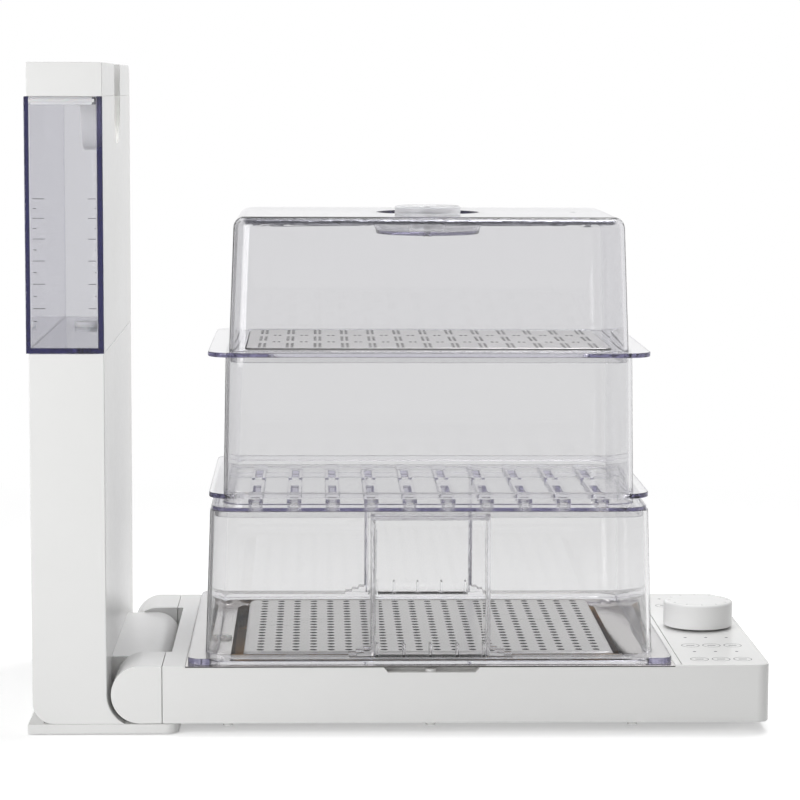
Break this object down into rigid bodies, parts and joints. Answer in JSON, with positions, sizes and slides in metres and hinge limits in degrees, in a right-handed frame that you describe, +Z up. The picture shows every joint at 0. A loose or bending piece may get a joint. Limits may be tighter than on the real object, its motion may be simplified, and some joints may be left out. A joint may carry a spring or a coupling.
{
  "type": "food steamer",
  "caption": "Folding electric food steamer: a heated base with a steel pan hinges on a water tower and carries a stack of clear trays with a lid.",
  "frame": {"origin": "middle of the footprint on the table, with the base unfolded and the trays stacked", "axes": "+X from the tower along the base to the control panel, +Y to the back, +Z up"},
  "size_m": [0.4438, 0.2384, 0.3985],
  "materials": {
    "white_shell": "glossy moulded ABS",
    "white_foot": "matt moulded ABS",
    "clear_tray": "clear polycarbonate",
    "tinted_tank": "clear tinted polycarbonate",
    "steel_plate": "pressed stainless sheet",
    "steel_pan": "drawn stainless sheet",
    "steel_pin": "turned steel",
    "screw_steel": "zinc-plated steel",
    "cast_alloy": "cast, as made",
    "element_steel": "annealed tube",
    "silicone": "soft silicone",
    "foot_rubber": "matt rubber",
    "circuit_board": "green board with parts",
    "inner_plastic": "plain moulding",
    "light_lens": "diffusing lens"
  },
  "bodies": {
    "tower": {"foot_plate": "white_foot", "foot_pads": "foot_rubber", "foot_screws": "screw_steel", "column_shell": "white_shell", "cord_inlet": "silicone", "power_board": "circuit_board", "tank_socket": "inner_plastic", "socket_seal": "silicone", "pump_saddle": "inner_plastic", "water_pump": "inner_plastic", "tank_hose": "silicone", "pump_hose": "silicone", "hinge_knuckle": "white_shell", "hinge_pins": "steel_pin"},
    "base": {"ear_front": "white_shell", "ear_back": "white_shell", "hinge_bushes": "inner_plastic", "base_shell": "white_shell", "ear_screws": "screw_steel", "base_cover": "white_foot", "base_screws": "screw_steel", "base_feet": "foot_rubber", "steam_pan": "steel_pan", "pan_gasket": "silicone", "pan_inlet": "silicone", "pan_hose": "silicone", "heater_plate": "cast_alloy", "heating_element": "element_steel", "thermostat": "steel_pin", "control_panel": "white_shell", "indicator_lights": "light_lens", "control_board": "circuit_board", "rotary_switch": "inner_plastic"},
    "switch_shaft": {"switch_shaft": "steel_pin"},
    "knob": {"knob": "white_shell"},
    "tank": {"tank_jacket": "white_shell", "water_tank": "tinted_tank", "valve_seal": "silicone", "tank_valve": "inner_plastic"},
    "tank_cap": {"tank_cap": "white_shell", "cap_seal": "silicone"},
    "steam_plate": {"steam_plate": "steel_plate"},
    "lower_tier": {"lower_tier": "clear_tray"},
    "middle_tier": {"middle_tier": "clear_tray"},
    "upper_tray": {"upper_tray": "clear_tray"},
    "upper_plate": {"upper_plate": "steel_plate"},
    "lid": {"lid": "clear_tray", "lid_knob": "clear_tray", "lid_screw": "screw_steel"}
  },
  "joints": [
    {"name": "base_fold", "type": "hinge", "parent": "tower", "child": "base", "pos_m": [-0.1549, 0, 0.0244], "axis": [0, 1, 0], "range_deg": [-90, 0]},
    {"name": "knob_press", "type": "slide", "parent": "base", "child": "switch_shaft", "axis": [0, 0, 1], "range_m": [-0.001, 0], "stiffness_N_per_m": 1500, "springref_m": 0.0005},
    {"name": "knob_turn", "type": "hinge", "parent": "switch_shaft", "child": "knob", "pos_m": [0.1945, 0.00375, 0.05], "axis": [0, 0, 1], "continuous": true},
    {"name": "tank_lift", "type": "slide", "parent": "tower", "child": "tank", "axis": [0, 0, 1], "range_m": [0, 0.2]},
    {"name": "cap_lift", "type": "slide", "parent": "tank", "child": "tank_cap", "axis": [0, 0, 1], "range_m": [0, 0.05]},
    {"name": "plate_clear", "type": "slide", "parent": "tower", "child": "steam_plate", "axis": [0, 0, 1], "range_m": [0, 0.7001]},
    {"name": "lower_tier_lift", "type": "slide", "parent": "steam_plate", "child": "lower_tier", "axis": [0, 0, 1], "range_m": [0, 0.1]},
    {"name": "middle_tier_lift", "type": "slide", "parent": "lower_tier", "child": "middle_tier", "axis": [0, 0, 1], "range_m": [0, 0.1]},
    {"name": "upper_tray_lift", "type": "slide", "parent": "middle_tier", "child": "upper_tray", "axis": [0, 0, 1], "range_m": [0, 0.1]},
    {"name": "upper_plate_lift", "type": "slide", "parent": "upper_tray", "child": "upper_plate", "axis": [0, 0, 1], "range_m": [0, 0.04]},
    {"name": "lid_lift", "type": "slide", "parent": "upper_tray", "child": "lid", "axis": [0, 0, 1], "range_m": [0, 0.12]}
  ],
  "couplings": [
    {"joint": "plate_clear", "follows": "base_fold", "m_per_rad": -0.4456}
  ]
}
